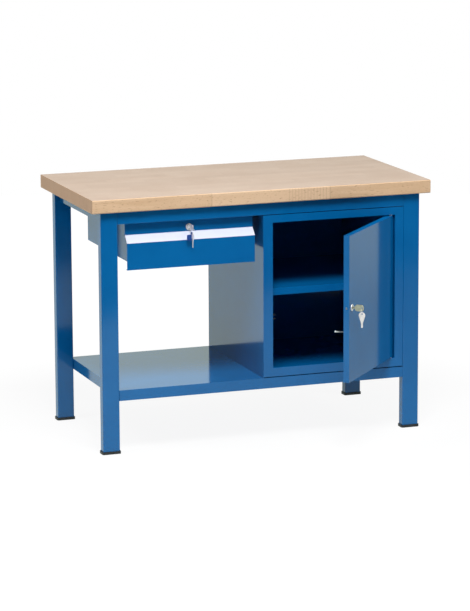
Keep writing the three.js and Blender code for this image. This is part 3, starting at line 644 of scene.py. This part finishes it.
nickel_brass = plated(
    "nickel_brass",
    bright=(0.60, 0.57, 0.46, 1),
    dull=(0.46, 0.44, 0.35, 1),
    metal=0.9,
    gloss=0.22,
    marks=(900.0, 900.0, 200.0),
)
bright_steel = plated(
    "bright_steel",
    bright=(0.98, 0.91, 0.93, 1),
    dull=(0.88, 0.81, 0.83, 1),
    metal=0.7,
    gloss=0.24,
    marks=(300.0, 1200.0, 1200.0),
)
zinc_plate = plated(
    "zinc_plate",
    bright=(0.62, 0.64, 0.66, 1),
    dull=(0.47, 0.49, 0.51, 1),
    metal=1.0,
    gloss=0.26,
    marks=(160.0, 700.0, 700.0),
)
bright_chrome = plated(
    "bright_chrome",
    bright=(0.97, 0.95, 0.96, 1),
    dull=(0.93, 0.91, 0.92, 1),
    metal=0.5,
    gloss=0.2,
    marks=(80.0, 80.0, 80.0),
)
dull_steel = plated(
    "dull_steel",
    bright=(0.30, 0.33, 0.37, 1),
    dull=(0.22, 0.25, 0.29, 1),
    metal=1.0,
    gloss=0.34,
    marks=(300.0, 1200.0, 1200.0),
)
spring_steel = plated(
    "spring_steel",
    bright=(0.10, 0.11, 0.14, 1),
    dull=(0.06, 0.07, 0.09, 1),
    metal=1.0,
    gloss=0.3,
    marks=(900.0, 200.0, 900.0),
)

# %% [markdown]
# ## The two-tone catch pin
# The pin behind the door's free edge is dark, and bright towards its nose. Two materials could meet in a
# line, but the change is gradual, so one mask runs along the pin from the nose to the foot.

# %% Catch pin
PIN_DULL = (0.10, 0.11, 0.13, 1)
PIN_BRIGHT = (0.62, 0.64, 0.66, 1)
PIN_BRIGHT_FROM_TIP = 4 * MM, 16 * MM
PIN_ROUGHNESS = 0.45
NOSE_POLISH = 0.2
pin_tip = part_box("catch_pin")[0].x


def pin_dark_to_bright(tree):
    start, end = (pin_tip + reach for reach in PIN_BRIGHT_FROM_TIP)
    # Dark along the pin, brighter towards its nose.
    nose = spot_on_bench(tree).part("X").falling(start, end)
    return {
        "Base Color": nose.between(PIN_DULL, PIN_BRIGHT),
        "Metallic": 1.0,
        "Roughness": PIN_ROUGHNESS - NOSE_POLISH * nose,
    }


worn_steel = finish("worn_steel", pin_dark_to_bright)

# %% [markdown]
# ## Finishes on the frame
# Each piece of the frame gets the finish that its slot in the record names, apart from a few small metal
# ones that have a finish of their own. A sheet's folded edge is never sharp. The edges could be modelled
# round, but modifiers leave the frame's own meshes alone: one welds a piece into one skin again, and the
# next eases its edges by a small bevel.

# %% Dress the frame
FINISHES = {
    "blue_paint": blue_paint,
    "beech": beech,
    "black_plastic": black_plastic,
    "white_strip": white_film,
    "blue_plastic": blue_plastic,
    "brass": nickel_brass,
    "steel": bright_steel,
    "zinc": zinc_plate,
}
OWN_FINISHES = {
    "drawer_lock_body": bright_chrome,
    "drawer_lock_plug": bright_chrome,
    "door_lock_body": bright_chrome,
    "door_lock_bolt": dull_steel,
    "catch_pin": worn_steel,
    "catch_clip": spring_steel,
}
WIDER_EDGES = ("worktop", "foot_shoe", "leg", "front_apron", "lower_shelf")
WIDER_EASE = 0.8 * MM
USUAL_EASE = 0.4 * MM
SAME_SPOT = 0.01 * MM
EASED_ANGLE = math.radians(35)
EASE_SEGMENTS = 2


def ease(piece, width):
    skin = piece.modifiers.new("one_skin", "WELD")
    skin.merge_threshold = SAME_SPOT
    edge = piece.modifiers.new("eased_edges", "BEVEL")
    edge.width = width
    edge.segments = EASE_SEGMENTS
    edge.limit_method = "ANGLE"
    edge.angle_limit = EASED_ANGLE
    edge.use_clamp_overlap = True
    normals = piece.modifiers.new("even_normals", "WEIGHTED_NORMAL")
    normals.keep_sharp = False


for subpart in frame["record"]["subparts"]:
    piece = nodes[subpart["node"]]
    by_slot = FINISHES[subpart["material_slot"]]
    piece.material_slots[0].material = OWN_FINISHES.get(piece.name, by_slot)
    ease(piece, WIDER_EASE if piece.name.startswith(WIDER_EDGES) else USUAL_EASE)
used = {piece.material_slots[0].material.name for piece in nodes.values()}
print(len(nodes), "pieces dressed in", len(used), "finishes")

# %% [markdown]
# ## Turned shapes
# Screws, rivets and bushes are turned or headed. They could be put together from ready-made cylinders
# and cones, but one profile turned round an axis is how they are made, and gives a single clean solid.


# %% Turned shapes
def turned(shape, profile, steps, place):
    """Adds a closed solid: (radius, height) pairs in millimetres turned round the place's Z axis."""
    rings = []
    for radius, height in profile:
        if radius == 0:
            rings.append([shape.verts.new(place @ Vector((0, 0, height * MM)))] * steps)
            continue
        turns = [2 * math.pi * step / steps for step in range(steps)]
        ring = [Vector((math.cos(a) * radius, math.sin(a) * radius, height)) * MM for a in turns]
        rings.append([shape.verts.new(place @ spot) for spot in ring])
    closed = rings[1:] + rings[:1] if profile[0][0] else rings[1:]
    for low, high in zip(rings, closed):
        for step in range(steps):
            after = (step + 1) % steps
            corners = [low[step], low[after], high[after], high[step]]
            corners = list(dict.fromkeys(corners))
            if len(corners) > 2:
                shape.faces.new(corners)


print("a turned shape follows a profile of radius and height")

# %% [markdown]
# ## Stepped plates
# A key is flat strip with a sunk field, a raised eye and a groove. It could be carved by booleans, but
# its faces are flat at a few heights, so outlines nested in each other give it without stray edges.


# %% Stepped plates
def stepped_plate(shape, outline, fields, half, place):
    """Adds a plate with an outline and, inside it, nested fields as (parent, loop, half height) triples.

    A field with no height of its own is a hole right through the plate.
    """
    loops = [outline] + [loop for _, loop, _ in fields]
    heights = [half] + [height for _, _, height in fields]
    parents = [None] + [parent for parent, _, _ in fields]
    made = {}

    def ring(index, height):
        if (index, height) not in made:
            spots = [Vector((u, v, height)) * MM for u, v in loops[index]]
            made[index, height] = [shape.verts.new(place @ spot) for spot in spots]
        return made[index, height]

    def wall(index, low, high):
        pairs = list(zip(ring(index, low), ring(index, high)))
        for (a, b), (c, d) in zip(pairs, pairs[1:] + pairs[:1]):
            shape.faces.new((a, c, d, b))

    def edges_of(ring_spots):
        for a, b in zip(ring_spots, ring_spots[1:] + ring_spots[:1]):
            yield shape.edges.get((a, b)) or shape.edges.new((a, b))

    wall(0, -half, half)
    for index, parent in enumerate(parents):
        if index and heights[index] is None:
            wall(index, -heights[parent], heights[parent])
        for side in (-1, 1):
            if heights[index] is None:
                continue
            if index:
                wall(index, side * heights[index], side * heights[parent])
            border = list(edges_of(ring(index, side * heights[index])))
            for inner, holder in enumerate(parents):
                if inner and holder == index:
                    border += edges_of(ring(inner, side * heights[index]))
            normal = place.to_3x3() @ Vector((0, 0, side))
            bmesh.ops.triangle_fill(shape, edges=border, use_beauty=True, normal=normal)


print("a stepped plate nests its outlines, one height for each")

# %% [markdown]
# ## Wire, and pieces that ride
# Rings and weld beads are round stock along a path. A swept mesh could be built by hand, but a curve with
# a bevel does the same and keeps its ends closed. Every new piece then rides on a body of the model, so
# that it moves with it, and takes the finish that it is given.

# %% Wire and pieces
WIRE_ROUNDNESS = 3


def bent_wire(name, spots, radii):
    """A mesh of round wire along spots in metres, with a radius in millimetres at each."""
    curve = bpy.data.curves.new(name, "CURVE")
    curve.dimensions = "3D"
    curve.bevel_depth = MM
    curve.bevel_resolution = WIRE_ROUNDNESS
    curve.use_fill_caps = True
    line = curve.splines.new("POLY")
    line.points.add(len(spots) - 1)
    for point, spot, radius in zip(line.points, spots, radii):
        point.co = (*spot, 1)
        point.radius = radius
    holder = bpy.data.objects.new(name, curve)
    mesh = bpy.data.meshes.new_from_object(holder)
    bpy.data.objects.remove(holder)
    bpy.data.curves.remove(curve)
    return mesh


def add_mesh(name, mesh, material, body, slot, stands_for=()):
    """Makes a mesh a piece that moves with a body, in place of the frame's pieces that it stands for."""
    piece = bpy.data.objects.new(name, mesh)
    bpy.context.scene.collection.objects.link(piece)
    mesh.materials.clear()
    mesh.materials.append(material)
    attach(piece, body)
    if stands_for:
        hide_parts(*stands_for)
    return piece


def add_shape(name, shape, material, body, slot, stands_for=()):
    """Makes a finished shape a piece in the same way."""
    bmesh.ops.recalc_face_normals(shape, faces=shape.faces[:])
    mesh = bpy.data.meshes.new(name)
    shape.to_mesh(mesh)
    shape.free()
    return add_mesh(name, mesh, material, body, slot, stands_for)


print("new pieces come from", bent_wire.__name__, "and from shapes, and ride on a body")

# %% [markdown]
# ## Outlines of keys
# A cabinet key is stamped from strip: a bow with a raised rim and an eye for the ring, and a blade with a
# milled groove and cuts for the wafers of the lock. The key in a lock shows a bow with full shoulders, the
# spare one a pear. The outlines could be traced, but arcs and bends need only a few sizes.

# %% Outlines of keys
KEY_LENGTHS = {"key": 38.0, "spare_key": 52.0}
KEY_BLADES = {"key": 7.0, "spare_key": 16.0}
KEY_CUTS = {"key": (), "spare_key": ((3.2, 1.2), (6.2, 0.7), (9.2, 1.6), (12.2, 1.0))}
FIELD_FROM_NECK = {"key": 5.0, "spare_key": 12.0}
GROOVE_PAST_NECK = {"key": 1.0, "spare_key": 4.0}
KEY_EYE_FROM_END = 6.0
BLADE_HALF = 3.2
CUT_HALF = 1.0
TIP_CHAMFER = 1.0
BOW_RADIUS = 11.0
BOW_STEPS = 24
BEND_STEPS = 8
SHOULDER_DRAW = 2.0
CROWN_SHARE = 0.8
RIM_WIDTH = 2.4
RIM_HALF = 1.0
FIELD_HALF = 0.7
FIELD_NECK = 1.2
BOSS_RADIUS = 3.4
EYE_RADIUS = 2.5
EYE_STEPS = 20
GROOVE_START = 1.5
GROOVE_SIDES = 0.3, 1.4


def arc(centre, radius, start, end, steps):
    turns = [start + (end - start) * step / steps for step in range(steps + 1)]
    return [(centre + radius * math.cos(turn), radius * math.sin(turn)) for turn in turns]


def bend(start, corner, end):
    """Points on a curve that leaves start towards a corner and reaches end from it."""
    start, corner, end = Vector(start), Vector(corner), Vector(end)
    shares = [step / BEND_STEPS for step in range(BEND_STEPS + 1)]
    return [tuple(start.lerp(corner, share).lerp(corner.lerp(end, share), share)) for share in shares]


def pear_bow(neck, half, end, radius):
    """A round head with straight flanks down to a neck: the points from the lower flank to the upper."""
    centre = end - radius
    reach = math.hypot(centre - neck, half)
    start = math.atan2(half, centre - neck) - math.acos(-radius / reach)
    return [(neck, -half), *arc(centre, radius, start, -start, BOW_STEPS), (neck, half)]


def broad_bow(neck, half, end, radius):
    """A head with full shoulders and a flat crown: the points from the lower shoulder to the upper."""
    lower = bend((neck, -half), (neck + SHOULDER_DRAW, -radius), (neck + radius, -radius))
    lower += bend((end - CROWN_SHARE * radius, -radius), (end, -radius), (end, 0))
    return lower + [(u, -v) for u, v in reversed(lower[:-1])]


KEY_BOWS = {"key": broad_bow, "spare_key": pear_bow}
for kind, length in KEY_LENGTHS.items():
    print(kind, "of", length, "mm with a", KEY_BOWS[kind].__name__)

# %% [markdown]
# ## Keys
# Each lock has a key in its plug and a spare one on the ring. The frame's plain keys could be dressed as
# they are, but close up a key without rim, groove and cuts looks like a tag. The new ones take the place
# of the plain ones, found from the joint that the spare key swings on.

# %% Keys
KEY_EYE_LIFT = 1.5
SPARE_EYE_DROP = 19.0
KEY_EASE = 0.15 * MM
KEY_METALS = {"drawer": (bright_steel, "steel"), "door": (nickel_brass, "brass")}
UP = Vector((0, 0, 1))


def key_plate(shape, kind, place):
    length, blade = KEY_LENGTHS[kind], KEY_BLADES[kind]
    bow, eye = KEY_BOWS[kind], length - KEY_EYE_FROM_END
    bitting = []
    for spot, depth in KEY_CUTS[kind]:
        bitting.append((spot - CUT_HALF, -BLADE_HALF))
        bitting.append((spot, depth - BLADE_HALF))
        bitting.append((spot + CUT_HALF, -BLADE_HALF))
    tip = [(0, TIP_CHAMFER - BLADE_HALF), (TIP_CHAMFER, -BLADE_HALF)]
    outline = tip + bitting + bow(blade, BLADE_HALF, length, BOW_RADIUS)
    outline += [(u, -v) for u, v in reversed(tip)]
    field = bow(blade + FIELD_FROM_NECK[kind], FIELD_NECK, length - RIM_WIDTH, BOW_RADIUS - RIM_WIDTH)
    boss = arc(eye, BOSS_RADIUS, 0, 2 * math.pi, BOW_STEPS)[:-1]
    hole = arc(eye, EYE_RADIUS, 0, 2 * math.pi, EYE_STEPS)[:-1]
    low, high = GROOVE_SIDES
    groove_end = blade + GROOVE_PAST_NECK[kind]
    groove = [(GROOVE_START, low), (groove_end, low), (groove_end, high), (GROOVE_START, high)]
    fields = [(0, field, FIELD_HALF), (1, boss, RIM_HALF), (2, hole, None), (0, groove, FIELD_HALF)]
    stepped_plate(shape, outline, fields, RIM_HALF, place)


def frame_at(spot, along, across):
    """A matrix at a spot, with its X and Y axes along two directions."""
    return Matrix.Translation(spot) @ Matrix((along, across, along.cross(across))).transposed().to_4x4()


def lock_place(lock):
    """The direction out of a lock, and the middle of the eye of the key in it."""
    outward = Vector(joints[lock + "_lock_turn"]["axis"])
    return outward, Vector(joints[lock + "_keys_swing"]["pos_m"]) + UP * KEY_EYE_LIFT * MM


keys = []
for lock in KEY_METALS:
    outward, first_eye = lock_place(lock)
    spare_eye = first_eye - UP * SPARE_EYE_DROP * MM
    for kind, eye, along, across, body, metal, slot in (
        ("key", first_eye, outward, UP, lock + "_plug", *KEY_METALS[lock]),
        ("spare_key", spare_eye, UP, outward, lock + "_keys", bright_steel, "steel"),
    ):
        start = eye - along * (KEY_LENGTHS[kind] - KEY_EYE_FROM_END) * MM
        shape = bmesh.new()
        key_plate(shape, kind, frame_at(start, along, across))
        keys.append(add_shape(lock + "_cut_" + kind, shape, metal, body, slot, [lock + "_" + kind]))
        ease(keys[-1], KEY_EASE)
print(len(keys), "keys, the spare ones with", len(KEY_CUTS["spare_key"]), "cuts")

# %% [markdown]
# ## Split rings
# A key ring is spring wire wound twice and pressed flat, so that its two turns lie side by side. A
# torus would show neither the turns nor the ends, so the wire follows a flat helix.

# %% Split rings
RING_RADIUS = 8.0
RING_DROP = 9.5
RING_WIRE = 0.34
RING_TURNS = 2
RING_STEPS = 40

for lock in KEY_METALS:
    outward, first_eye = lock_place(lock)
    centre = first_eye - UP * RING_DROP * MM
    sideways = outward.cross(UP)
    spots = []
    for step in range(RING_TURNS * RING_STEPS + 1):
        turn = 2 * math.pi * step / RING_STEPS
        height = RING_WIRE * (2 * step / (RING_TURNS * RING_STEPS) - 1)
        round_axis = sideways * math.cos(turn) + UP * math.sin(turn)
        spots.append(centre + (round_axis * RING_RADIUS + outward * height) * MM)
    wire = bent_wire(lock + "_split_ring", spots, [RING_WIRE] * len(spots))
    add_mesh(lock + "_split_ring", wire, bright_steel, lock + "_keys", "steel", [lock + "_key_ring"])
    print(lock, "ring of", RING_TURNS, "turns")

# %% [markdown]
# ## Screws under the worktop
# The rails are screwed up into the worktop through their flanges, the drawer's housing too. The screws
# could be left out, as none shows from the front, but from below they are what one looks for. A row takes
# its place from the box of the piece that it holds.

# %% Screws under the worktop
WASHER = [(3.2, 0.0), (6.5, 0.0), (6.5, 1.2), (3.2, 1.2)]
WASHER_STEPS = 24
HEX_HEAD = [(0.0, 1.2), (5.6, 1.2), (5.6, 4.8), (4.9, 5.4), (0.0, 5.4)]
HEX_SIDES = 6
DOWNWARD = Matrix.Rotation(math.pi, 4, "X")
APRON_SHARES = (0.06, 0.36, 0.64, 0.94)
RAIL_SHARES = (0.2, 0.8)
HOUSING_SHARES = (0.15, 0.5, 0.85)
RAIL_SHEET, RAIL_INSET = 2 * MM, 17 * MM
HOUSING_SHEET, HOUSING_INSET = 1.5 * MM, 7.5 * MM
LOW_EDGE, HIGH_EDGE = 0, 1


def flange_row(node, across, edge, shares, sheet, inset):
    """Spots under a flange on the low or high edge of a node, which lies across one axis (X 0, Y 1)."""
    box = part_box(node)
    low, high = box
    along = 1 - across
    for share in shares:
        spot = Vector((0, 0, high.z - sheet))
        spot[along] = low[along] + (high[along] - low[along]) * share
        spot[across] = box[edge][across] + (inset if edge == LOW_EDGE else -inset)
        yield spot


def screw_row(name, spots):
    shape = bmesh.new()
    for spot in spots:
        place = Matrix.Translation(spot) @ DOWNWARD
        turned(shape, WASHER, WASHER_STEPS, place)
        turned(shape, HEX_HEAD, HEX_SIDES, place)
    add_shape(name, shape, zinc_plate, "bench", "zinc")
    print(len(spots), name)


for name, node, across, edge, shares in (
    ("apron_screws_front", "front_apron", 1, LOW_EDGE, APRON_SHARES),
    ("apron_screws_rear", "rear_apron", 1, HIGH_EDGE, APRON_SHARES),
    ("rail_screws_left", "side_rail_left", 0, LOW_EDGE, RAIL_SHARES),
    ("rail_screws_right", "side_rail_right", 0, HIGH_EDGE, RAIL_SHARES),
):
    screw_row(name, list(flange_row(node, across, edge, shares, RAIL_SHEET, RAIL_INSET)))
housing_spots = []
for edge in (LOW_EDGE, HIGH_EDGE):
    housing_spots += flange_row("drawer_housing", 0, edge, HOUSING_SHARES, HOUSING_SHEET, HOUSING_INSET)
screw_row("housing_screws", housing_spots)

# %% [markdown]
# ## Rivets in the cabinet's back
# The back is a sheet riveted to the cabinet's flanges, with flat round heads under the paint. A bump could
# hint at them, but the heads stand out when light grazes the back, so they are turned like real ones.

# %% Rivets in the cabinet's back
RIVET = [(0.0, 1.3), (1.4, 1.15), (2.5, 0.6), (3.0, 0.0), (0.0, 0.0)]
RIVET_STEPS = 16
RIVET_INSET = 9 * MM
RIVET_ROWS = 6
RIVET_COLUMNS = 5
BACKWARD = Matrix.Rotation(-math.pi / 2, 4, "X")

back_low, back_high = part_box("cabinet_back")
rivets_wide = back_high.x - back_low.x - 2 * RIVET_INSET
rivets_high = back_high.z - back_low.z - 2 * RIVET_INSET
border = [
    (row, column)
    for row in range(RIVET_ROWS)
    for column in range(RIVET_COLUMNS)
    if row in (0, RIVET_ROWS - 1) or column in (0, RIVET_COLUMNS - 1)
]
shape = bmesh.new()
for row, column in border:
    x = back_low.x + RIVET_INSET + rivets_wide * column / (RIVET_COLUMNS - 1)
    z = back_low.z + RIVET_INSET + rivets_high * row / (RIVET_ROWS - 1)
    turned(shape, RIVET, RIVET_STEPS, Matrix.Translation((x, back_high.y, z)) @ BACKWARD)
add_shape("cabinet_back_rivets", shape, blue_paint, "bench", "blue_paint")
print(len(border), "rivets round the cabinet's back")

# %% [markdown]
# ## Bush under the door
# The door turns on a pin in the frame, over a white plastic bush that keeps paint off paint. A washer
# could be drawn in the material, but it is seen as a pale dot below the door, so it is a turned ring.

# %% Bush under the door
BUSH = [(5.6, 0.15), (6.1, 0.15), (6.1, 2.55), (5.6, 2.55)]
BUSH_STEPS = 24
BUSH_BELOW_DOOR = 3 * MM

hinge_x, hinge_y, _ = joints["door_hinge"]["pos_m"]
bush_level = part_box("door_panel")[0].z - BUSH_BELOW_DOOR
shape = bmesh.new()
turned(shape, BUSH, BUSH_STEPS, Matrix.Translation((hinge_x, hinge_y, bush_level)))
add_shape("hinge_bush_lower", shape, white_film, "bench", "white_strip")
print("a bush", round(bush_level / MM), "mm above the floor")

# %% [markdown]
# ## Weld beads
# Rails and shelf are welded to the legs from inside, with short rippled beads under the paint. A smooth
# fillet would look cast, so each bead is a wire whose thickness swells and shrinks along its way.

# %% Weld beads
BEAD_RADIUS = 1.5
BEAD_END = 0.5
BEAD_RIPPLE = 0.3
RIPPLE_TURN = 2.1
BEAD_STEP = 1.5
BEAD_OFF_FACE = 0.6 * MM
WELD_INSET = 2.6 * MM
WELD_END = 5 * MM


def bead(name, start, end):
    count = int((end - start).length / (BEAD_STEP * MM))
    spots = [start.lerp(end, step / count) for step in range(count + 1)]
    radii = [BEAD_RADIUS + BEAD_RIPPLE * math.sin(RIPPLE_TURN * step) for step in range(count + 1)]
    radii[0] = radii[-1] = BEAD_END * BEAD_RADIUS
    add_mesh(name, bent_wire(name, spots, radii), blue_paint, "bench", "blue_paint")
    print(name, round((end - start).length / MM), "mm long")


shelf_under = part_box("lower_shelf")[0].z - BEAD_OFF_FACE
for row, rail in (("front", "front_apron"), ("rear", "rear_apron")):
    low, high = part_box(rail)
    corner = low.y + WELD_INSET if row == "front" else high.y - WELD_INSET
    leg_low, leg_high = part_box("leg_" + row + "_left")
    for side, x in (("left", low.x + BEAD_OFF_FACE), ("right", high.x - BEAD_OFF_FACE)):
        ends = [Vector((x, corner, z)) for z in (low.z + WELD_END, high.z - WELD_END)]
        bead("weld_rail_" + row + "_" + side, *ends)
        ends = [Vector((x, y, shelf_under)) for y in (leg_low.y + WELD_END, leg_high.y - WELD_END)]
        bead("weld_shelf_" + row + "_" + side, *ends)

# %% [markdown]
